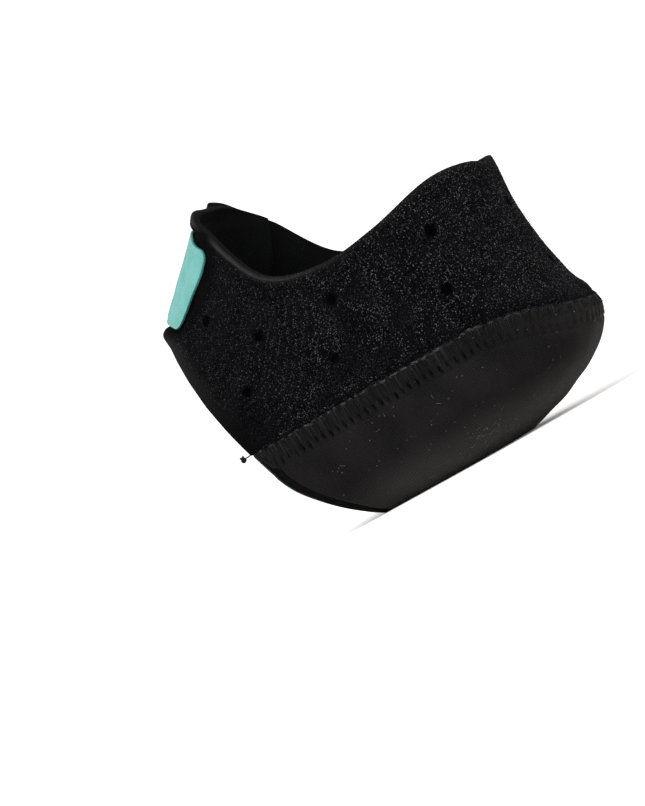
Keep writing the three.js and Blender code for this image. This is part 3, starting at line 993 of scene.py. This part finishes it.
def build_cup():
    end = hem_row(cup_angles, HEM_WIDTH + CLEARANCE)
    first = np.minimum(seam_rows, end - 0.004)
    turn, rows, from_first, from_end = strip_grid(cup_angles, first, end, [0, 0.15, 0.5, 1.0], 78)
    drop = rounded(np.minimum(from_first, from_end), 0.4)
    under_band = 0.95 * (1 - smoothstep(from_seam_line(turn, rows), BAND_REACH - 1.5, BAND_REACH - 0.4))
    outer = sleeve(turn, rows, CUP_DEPTH + np.maximum(drop, under_band), CUP_DEPTH)
    inner = sleeve(turn, rows, CUP_DEPTH + CUP_WALL - drop, CUP_DEPTH)
    cloth = (seam_along[:, None], from_first)
    cup = sheet_piece("knit_cup", (outer, inner), [KNIT, LINING, KNIT], cloth, "ribbed_knit", ["heel_cup"])
    y, z = np.concatenate([outer.reshape(-1, 3), inner.reshape(-1, 3)]).T[1:]
    # Painted light from the floor, low at the back of the cup near the sole.
    give(cup, "floor_light", (1 - smoothstep(y, 62, 92)) * (1 - smoothstep(z, 3, 15)))
    cup.data.set_sharp_from_angle(angle=math.radians(60))
    return cup


def build_hem():
    angles = even_angles(2.2 - SEAM_END, SEAM_END - 362.2, CUP_ROW, CUP_STEP)
    tucked = smoothstep(from_instep(angles), SEAM_END + 0.6, SEAM_END - 0.6)
    first = hem_row(angles, HEM_WIDTH + 0.5)
    end = hem_row(angles, 0.25 * tucked)
    turn, rows, from_first, from_end = strip_grid(angles, first, end, [0, 0.1, 0.3, 0.6], 5)
    edge = np.minimum(from_first, from_end)
    bulge = 0.22 * np.sin(np.pi * np.clip(from_first / HEM_WIDTH, 0, 1))
    outer = sleeve(turn, rows, HEM_DEPTH + rounded(edge, 0.6) - bulge, HEM_DEPTH)
    inner = sleeve(turn, rows, HEM_DEPTH + HEM_WALL - rounded(edge, 0.5), HEM_DEPTH)
    # Painted highlight along the hem's front edge, for its shader.
    rim = hump(from_end, 0.25, 0.3)
    cloth = (CUP_STEP * np.arange(1, len(angles) + 1)[:, None], from_first)
    grids = (outer, inner)
    return sheet_piece("front_hem_strip", grids, [HEM], cloth, "hem_binding", ["front_hem"], rim=rim)


# The overlock seam: a band under the wrap's edge, slanted threads over it and a ridge of loops along it.
def seam_field(step, downs):
    """Angles, rows and places along the seam, for each distance down from it over the surface."""
    count = round(seam_along[-1] / step)
    along = np.linspace(0, seam_along[-1], count + 1)
    angle = np.interp(along, seam_along, cup_angles)
    row = seam_row(angle, 0.0)
    tangent = unit(np.gradient(surface(angle, row), axis=0))
    angles, rows = [], []
    here_angle, here_row = angle.copy(), row.copy()
    at = 0.0
    half = 0.02

    def move(a, r, distance):
        normal = surface_normal(a, r)
        round_it = (surface(a + half, r) - surface(a - half, r)) / (2 * half)
        down_it = (surface(a, r + half) - surface(a, r - half)) / (2 * half)
        wanted = unit(np.cross(normal, tangent))
        wanted = wanted * np.sign(-wanted[:, 2:3] + 1e-9)
        aa = (round_it * round_it).sum(-1)
        ab = (round_it * down_it).sum(-1)
        bb = (down_it * down_it).sum(-1)
        wa = (wanted * round_it).sum(-1)
        wb = (wanted * down_it).sum(-1)
        det = aa * bb - ab**2
        return a + distance * (wa * bb - wb * ab) / det, r + distance * (wb * aa - wa * ab) / det

    for down in downs:
        for _ in range(4):
            here_angle, here_row = move(here_angle, here_row, (down - at) / 4)
        at = down
        angles.append(here_angle)
        rows.append(here_row)
    return along, np.stack(angles, 1), np.stack(rows, 1)


STITCH = 2.55
HOLE_DOWN = 5.2
SEAM_STEP = 0.3
band_downs = np.concatenate([[-0.9, -0.55, -0.2], np.linspace(0.1, BAND_REACH, 24)])
band_along, band_angles, band_rows = seam_field(SEAM_STEP, band_downs)
band_limit = np.interp(band_angles[:, 0], cup_angles[::-1], hem_row(cup_angles, HEM_WIDTH * 0.6)[::-1])
band_rows = np.minimum(band_rows, np.maximum(band_limit[:, None], band_rows[:, :1] + 0.002))


def at_heel(along):
    """How near a place along the seam is to the middle of the heel, from 0 to 1."""
    y = surface(np.interp(along, seam_along, cup_angles), np.interp(along, seam_along, seam_rows))[..., 1]
    return smoothstep(y, 34, 9)


stitch_count = int(band_along[-1] / STITCH) - 1
stitches = STITCH * (0.8 + np.arange(stitch_count) + rng.uniform(-0.1, 0.1, stitch_count))
hole_depths = rng.uniform(0.45, 1.0, len(stitches)) * (1 - 0.7 * at_heel(stitches))
hole_shifts = rng.uniform(-0.35, 0.35, len(stitches))


def band_height(along, down):
    """How far the sewn band stands above the cup, in millimetres, and how much of a needle hole it is."""
    heel = at_heel(along)
    ridge = (0.72 - 0.3 * heel) * hump(down, -0.1, 0.7)
    slope = 0.5 * (1 - smoothstep(down, 0.0, BAND_REACH * 0.92))
    base = np.stack([along, down, 0 * along], -1)
    height = np.maximum(ridge, slope) * (1 + 0.25 * fine_waves(base) * hump(down, 0, 1.4))
    after = np.clip(np.searchsorted(stitches, along), 1, len(stitches) - 1)
    centre = (stitches[after] + stitches[after - 1]) / 2
    depth = hole_depths[after]
    lower = HOLE_DOWN + hole_shifts[after]
    aside = (along - centre - 0.08 * (down - lower)) / 0.5
    pull = depth * np.exp(-((aside**2 + ((down - lower) / 1.2) ** 2) ** 1.15))
    valley = hump(along, centre, 0.7) * smoothstep(down, 0.4, 2.4)
    valley = valley * (1 - smoothstep(down, 5.0, 7.4))
    height = height - 0.35 * smoothstep(down, BAND_REACH - 1.4, BAND_REACH)
    return height - 0.8 * pull - 0.28 * valley * (1 - 0.5 * heel), pull


def build_band():
    along = np.broadcast_to(band_along[:, None], band_rows.shape)
    down = np.broadcast_to(band_downs[None], band_rows.shape)
    height, pull = band_height(along, down)
    edge = rounded(np.minimum(down - band_downs[0], BAND_REACH - down), 0.35)
    outer = sleeve(band_angles, band_rows, CUP_DEPTH - np.maximum(height, -0.8) + edge)
    inner = sleeve(band_angles, band_rows, CUP_DEPTH + 1.15)
    # The needle holes' depths also mark where the knit paints shade into them.
    return sheet_piece("seam_band", (outer, inner), [KNIT], (along, down), "ribbed_knit", pull=pull)


def band_place(along, down, proud):
    """Points over the band, by distance along the seam and down from it."""
    lines = (along, band_along), (down, band_downs)
    i, j = (np.clip(np.interp(x, at, np.arange(len(at))), 0, len(at) - 1.001) for x, at in lines)
    angle = grid_values(band_angles, i, j)
    row = grid_values(band_rows, i, j)
    height, _ = band_height(along, down)
    normal = surface_normal(angle, row)
    return sleeve(angle, row, CUP_DEPTH - np.maximum(height, -0.3) - proud), normal


def wander(along, step, size, made):
    """A smooth random shift along a line, that turns about every step."""
    knots = np.arange(0, band_along[-1] + 3 * step, step)
    return smooth_curve(knots, made.uniform(-size, size, len(knots)), True)(along)[..., 0]


def build_threads():
    """Threads that run down from the wrap's edge and fade out past the needle holes."""
    made = np.random.default_rng(11)
    starts = (stitches[:, None] + np.array([-0.78, 0.0, 0.74])[None]).ravel()
    count = len(starts)
    starts = starts + made.uniform(-0.22, 0.22, count)
    reach = np.tile([5.9, 5.3, 6.4], len(stitches)) + made.uniform(-1.3, 0.7, count)
    reach = reach * (1 - 0.42 * at_heel(starts))
    slant = np.tile([0.35, 0.0, -0.2], len(stitches)) + made.uniform(-0.4, 0.4, count)
    share = np.linspace(0, 1, 19)[None]
    top = made.uniform(-0.75, -0.2, (count, 1))
    down = top + (reach[:, None] - top) * share
    bow = made.uniform(-0.24, 0.24, (count, 1)) * arch(share)
    bow = bow + made.uniform(-0.1, 0.1, (count, 1)) * np.sin(3 * np.pi * share)
    along = starts[:, None] + slant[:, None] * share + bow
    inside = (along.min(1) > 0.4) & (along.max(1) < band_along[-1] - 0.4)
    along, down = along[inside], down[inside]
    share = np.broadcast_to(share, down.shape)
    radius = made.uniform(0.12, 0.24, (len(down), 1)) * (1 - 0.5 * share)
    radius = radius * np.minimum(1, 10 * (1.03 - share))
    lines, normals = band_place(along, down, radius * 0.4 - 0.2 * smoothstep(share, 0.75, 1.0))
    tone = made.uniform(0.05, 0.6, (len(down), 1)) ** 1.5 * (1 - 0.85 * share)
    return tube_piece("seam_threads", lines, radius, normals, 6, THREAD, tone, "ribbed_knit")


def build_ridge():
    """Looper threads that cross along the wrap's ragged edge."""
    made = np.random.default_rng(12)
    along = np.linspace(0.3, band_along[-1] - 0.3, int(band_along[-1] / 0.2))
    ragged = wander(along, 1.3, 0.3, made) + wander(along, 4.5, 0.36, made)
    lines, ups, radii = [], [], []
    for phase, size in ((0.0, 0.13), (2.2, 0.16), (4.1, 0.11), (5.2, 0.09)):
        turn = 2 * math.pi * along / (STITCH * 0.98) + phase + wander(along, 3.1, 0.9, made)
        down = -0.25 + 0.26 * np.sin(turn) + ragged + wander(along, 0.8, 0.12, made)
        proud = 0.05 + 0.14 * np.cos(turn + 0.8) + wander(along, 1.7, 0.1, made)
        place, normal = band_place(along, down, proud)
        lines.append(place)
        ups.append(normal)
        radii.append(size * (1 + 0.45 * wander(along, 1.1, 1.0, made)))
    points, faces = tube_mesh(np.array(lines), np.array(radii), np.array(ups), 7)
    ridge = mesh_object("seam_ridge", points, faces, [THREAD])
    dim = np.tile(np.repeat(1 - 0.65 * at_heel(along), 7), 4)
    give(ridge, "tone", np.clip(0.45 + 0.5 * field(2.2, 9, 21)(points), 0.04, 1.0) * dim)
    return finish_piece(ridge, "ribbed_knit")


def build_fuzz():
    """Loose fibres that stand off the seam and lie over it."""
    made = np.random.default_rng(13)
    count = 3200
    along = made.uniform(0.5, band_along[-1] - 0.5, count)
    on_ridge = made.random(count) < 0.65
    down = np.where(on_ridge, made.normal(-0.3, 0.5, count), made.uniform(0.3, 6.4, count))
    length = made.uniform(0.4, 1.5, count)
    share = np.linspace(0, 1, 6)[None]
    any_way, downwards = made.uniform(-math.pi, math.pi, count), made.normal(math.pi / 2, 0.35, count)
    curl = made.uniform(-1.2, 1.2, (count, 1)) * np.where(on_ridge, 1, 0.4)[:, None]
    turn = np.where(on_ridge, any_way, downwards)[:, None] + curl * share
    step = length[:, None] / 5
    a = along[:, None] + np.cumsum(np.cos(turn) * step, 1)
    d = np.clip(down[:, None] + np.cumsum(np.sin(turn) * step, 1), -0.85, BAND_REACH - 0.1)
    a = np.clip(a, 0.1, band_along[-1] - 0.1)
    height = made.uniform(0.0, 0.3, (count, 1)) * np.sin(np.pi * share * made.uniform(0.5, 1.0, (count, 1)))
    lines, normals = band_place(a, d, 0.05 + height)
    radius = 0.04 * (1 - 0.5 * share)
    tone = made.uniform(0.1, 1.0, count) ** 1.5 * np.where(down < 1, 1, 0.5)
    return tube_piece("seam_fuzz", lines, radius, normals, 3, THREAD, tone[:, None], "ribbed_knit")


def build_thread_end():
    """The seam thread's short knotted tail at the front corner on the wearer's left."""
    start = surface(1.2 - SEAM_END, front_row(1.2 - SEAM_END)) + [0.4, -1.6, 0.0]
    out = unit(np.array([-0.15, 1.0, -0.12]))
    side = unit(np.cross(out, [1.0, 0.1, 0.2]))
    up = np.cross(out, side)
    tail = np.linspace(0, 1, 9)[:, None]
    stem = start + out * 3.4 * tail + side * 0.25 * np.sin(3 * tail)
    turn = np.linspace(0, 2 * math.pi * 2.6, 49)[:, None]
    centre = start + out * 3.8
    knot = centre + 0.62 * (np.cos(turn) * side + np.sin(turn) * up) * (1 + 0.25 * np.cos(1.5 * turn))
    knot = knot + out * 0.42 * np.sin(1.5 * turn)
    loose = knot[-1] + np.linspace(0, 1, 7)[1:, None] * (0.9 * out + 0.5 * side)
    path = np.concatenate([stem, knot, loose])
    ups = np.tile(unit(np.cross(out, side) + 0.3 * side), (len(path), 1))
    radius = np.concatenate([np.full(9, 0.2), np.full(49, 0.34), np.linspace(0.2, 0.06, 6)])
    return tube_piece("thread_tail", path[None], radius[None], ups[None], 8, THREAD, 0.12, "ribbed_knit")


def lying_fibres(made, angle, row, steps, bend, lengths, power, spread, depth, height):
    """Lines and normals of fibres that wander over the sleeve from given places, in a low arch."""
    share = np.linspace(0, 1, steps + 1)[None]
    each = (len(angle), 1)
    heading = made.uniform(0, 2 * math.pi, each) + made.uniform(-bend, bend, each) * share
    length = made.uniform(*lengths, each) ** power / steps
    angles = angle[:, None] + np.cumsum(np.cos(heading) * length, 1) * spread[0]
    rows = row[:, None] + np.cumsum(np.sin(heading) * length, 1) * spread[1]
    return sleeve(angles, rows, depth - height * arch(share)), surface_normal(angles, rows)


def build_stray_fibres():
    """A few long pale fibres caught in the plush."""
    made = np.random.default_rng(17)
    angle = np.concatenate([[-178.0], made.uniform(-300, -60, 13)])
    row = np.concatenate([[3.05], made.uniform(1.5, 4.5, 13)])
    row = np.clip(row, top_row(angle) + 0.4, seam_row(angle, 0.0) - 0.5)
    lines, normals = lying_fibres(made, angle, row, 11, 1.5, (1.6, 3.6), 1, (1.4, 0.08), -0.25, 0.35)
    return tube_piece("stray_fibres", lines, 0.05, normals, 4, THREAD, 1.0, "plush_foam")


def build_lint():
    """Short brown and grey fibres that cling to the cup above the sole."""
    made = np.random.default_rng(19)
    angle = np.concatenate([made.normal(-143, 7, 60), made.uniform(-205, -95, 30)])
    row = np.concatenate([made.normal(5.86, 0.12, 60), made.uniform(4.9, 6.8, 30)])
    depth = CUP_DEPTH - 0.06
    lines, normals = lying_fibres(made, angle, row, 6, 1.1, (0.25, 1.15), 1.5, (1.6, 0.07), depth, 0.12)
    tone = made.uniform(0.15, 1.0, (len(angle), 1))
    return tube_piece("cup_lint", lines, 0.04, normals, 4, LINT, tone, "ribbed_knit")


# The seam's inner face: a flat ladder of covering threads over the join.
def build_inner_seam():
    """A thin band inside the join, ribbed across by its covering threads."""
    downs = np.concatenate([[-2.1, -1.9, -1.5], np.linspace(-1.0, 1.0, 9), [1.5, 1.9, 2.1]])
    along, angles, rows = seam_field(SEAM_STEP, downs)
    place, down = np.broadcast_arrays(along[:, None], downs[None])
    swell = 0.45 * np.sqrt(np.clip(1 - (down / 2.12) ** 2, 0, 1))
    swell = swell * (0.85 + 0.15 * np.sin(2 * math.pi * place / 1.27))
    outer = sleeve(angles, rows, WRAP_WALL - 0.3, CUP_DEPTH)
    inner = sleeve(angles, rows, WRAP_WALL + swell, CUP_DEPTH)
    return sheet_piece("inner_seam", (outer, inner), [LINING], (place, down), "ribbed_knit")


# The hook tab.
TAB_STITCH = 2.3


def tab_half_height(around):
    past = np.maximum(0, np.abs(around) - (TAB_LENGTH / 2 - TAB_CORNER))
    return TAB_HEIGHT / 2 - TAB_CORNER + np.sqrt(np.maximum(TAB_CORNER**2 - past**2, 0.02))


def build_tab():
    turn = np.linspace(math.pi / 2, -math.pi / 2, 81)
    around = TAB_LENGTH / 2 * np.sin(turn)
    half_height = tab_half_height(around)
    share = np.sin(np.linspace(-math.pi / 2, math.pi / 2, 45))
    down = half_height[:, None] * share[None]
    across = np.broadcast_to(around[:, None], down.shape)
    edge = np.minimum(half_height[:, None] - np.abs(down), TAB_LENGTH / 2 - np.abs(across))
    cut_in = 4.0 * smoothstep(-across, -2.0, TAB_LENGTH / 2)
    past_side = np.maximum(0, np.abs(across) - TAB_LENGTH / 2 + TAB_CORNER)
    past_end = np.maximum(0, np.abs(down) - TAB_HEIGHT / 2 + TAB_CORNER)
    corner = np.hypot(past_side, past_end)
    edge = np.where(corner > 0, np.minimum(edge, TAB_CORNER - corner), edge)
    edge = np.maximum(edge, 0)
    down = down + cut_in * (0.5 - down / TAB_HEIGHT)
    across = across + 3.6 * smoothstep(down, -9, 7) * smoothstep(-across, -4, TAB_LENGTH / 2)
    press = 0.2 * (1 - smoothstep(edge, 0.0, 2.5)) + tab_dent(-edge, down) * (1 - smoothstep(across, 0, 14))
    inner, _ = tab_place(across, down, -press)
    outer, _ = tab_place(across, down, TAB_SKIN - press - rounded(edge, 0.4))
    rim = hump(edge, 0, 0.2)
    grids, cloth = (outer, inner), (across, down)
    materials = [TAB, HOOKS, TAB]
    return sheet_piece("hook_tab_cloth", grids, materials, cloth, "hook_tab", ["closure_tab"], rim=rim)


def build_tab_stitches():
    """The box of stitches that holds the tab on the over end."""
    left, right = 9.5, TAB_LENGTH / 2 - 2.4
    high = TAB_HEIGHT / 2 - 2.6
    corners = np.array([[right, -high], [right, high], [left, high], [left, -high], [right, -high]])
    along = run_lengths(corners)
    count = int(along[-1] / TAB_STITCH)
    starts = np.arange(count) * along[-1] / count
    share = np.linspace(0, 1, 9)[None]
    at = starts[:, None] + 0.25 + 1.75 * share
    around = np.interp(at, along, corners[:, 0])
    down = np.interp(at, along, corners[:, 1])
    lines, normals = tab_place(around, down, TAB_SKIN + (0.2 * arch(share) - 0.1))
    radius = 0.17 * np.minimum(1, 0.35 + 2.2 * arch(share))
    return tube_piece("tab_stitches", lines, radius, normals, 6, TAB_THREAD, 0.8, "hook_tab")


wrap = build_wrap()
build_loops()
cup = build_cup()
hem = build_hem()
band = build_band()
threads = build_threads()
ridge = build_ridge()
fuzz = build_fuzz()
thread_tail = build_thread_end()
build_stray_fibres()
lint = build_lint()
inner_seam = build_inner_seam()
tab = build_tab()
tab_stitches = build_tab_stitches()

# Floor, light and camera.
floor_mesh = bpy.data.meshes.new("floor")
FLOOR_REACH = 6.0
corners = [(x * FLOOR_REACH, y * FLOOR_REACH, 0) for x, y in ((-1, -1), (1, -1), (1, 1), (-1, 1))]
floor_mesh.from_pydata(corners, [], [(0, 1, 2, 3)])
floor = placed("floor", floor_mesh)
floor_shader = Shader("pale_floor")
floor_tone = floor_shader.noise(floor_shader.place(1.0), 9.0, 2.0)
floor_colour = floor_shader.mix(floor_tone, grey(0.86), grey(0.88))
floor_mesh.materials.append(floor_shader.finish(floor_colour, 0.9, 0.1))

world = bpy.data.worlds.new("studio")
scene.world = world
world.use_nodes = True
background = world.node_tree.nodes["Background"].inputs
background["Color"].default_value = (1.0, 1.0, 1.0, 1.0)
background["Strength"].default_value = 1.25


def area_light(name, place, aim, size, power, colour):
    light = bpy.data.lights.new(name, "AREA")
    light.shape = "RECTANGLE"
    light.size, light.size_y = size
    light.energy = power
    light.color = colour
    lamp = placed(name, light)
    lamp.location = place
    lamp.rotation_mode = "QUATERNION"
    lamp.rotation_quaternion = (Vector(aim) - Vector(place)).to_track_quat("-Z", "Y")


area_light("key", (-0.55, 0.15, 0.75), (0, 0, 0.05), (0.6, 0.6), 9.0, (1.0, 0.99, 0.97))
area_light("back", (-0.15, -0.75, 0.35), (0, -0.02, 0.04), (0.7, 0.5), 5.0, (1.0, 0.96, 0.92))

AZIMUTH = math.radians(22.0)
ELEVATION = math.radians(-2.0)
ROLL = math.radians(29.6)
DISTANCE = 650.0
SENSOR = 36.0
FOCAL_PIXELS = 2210.0
IMAGE = (645, 806)
TARGET_PIXEL = (374.0, 342.0)
TARGET = Vector(to_frame([0.0, 65.0, 45.0]))

camera_data = bpy.data.cameras.new("photo_camera")
camera_data.sensor_fit = "HORIZONTAL"
camera_data.sensor_width = SENSOR
camera_data.lens = FOCAL_PIXELS * SENSOR / IMAGE[0]
camera_data.clip_start = 0.05
camera_data.clip_end = 50.0
camera = placed("photo_camera", camera_data)
level = math.cos(ELEVATION)
toward = Vector((-math.cos(AZIMUTH) * level, -math.sin(AZIMUTH) * level, math.sin(ELEVATION)))
right = (-toward).cross(Vector((0, 0, 1))).normalized()
up = right.cross(-toward)
rolled_right = right * math.cos(ROLL) - up * math.sin(ROLL)
rolled_up = right * math.sin(ROLL) + up * math.cos(ROLL)
axes = Matrix([rolled_right, rolled_up, toward]).transposed()
seen_at = Vector((TARGET_PIXEL[0] - IMAGE[0] / 2, IMAGE[1] / 2 - TARGET_PIXEL[1], -FOCAL_PIXELS))
axes = axes @ seen_at.rotation_difference(Vector((0, 0, -1))).to_matrix()
camera.matrix_world = Matrix.Translation(TARGET + toward * DISTANCE / 1000) @ axes.to_4x4()
scene.camera = camera
scene.view_settings.view_transform = "Standard"

bpy.context.view_layer.update()
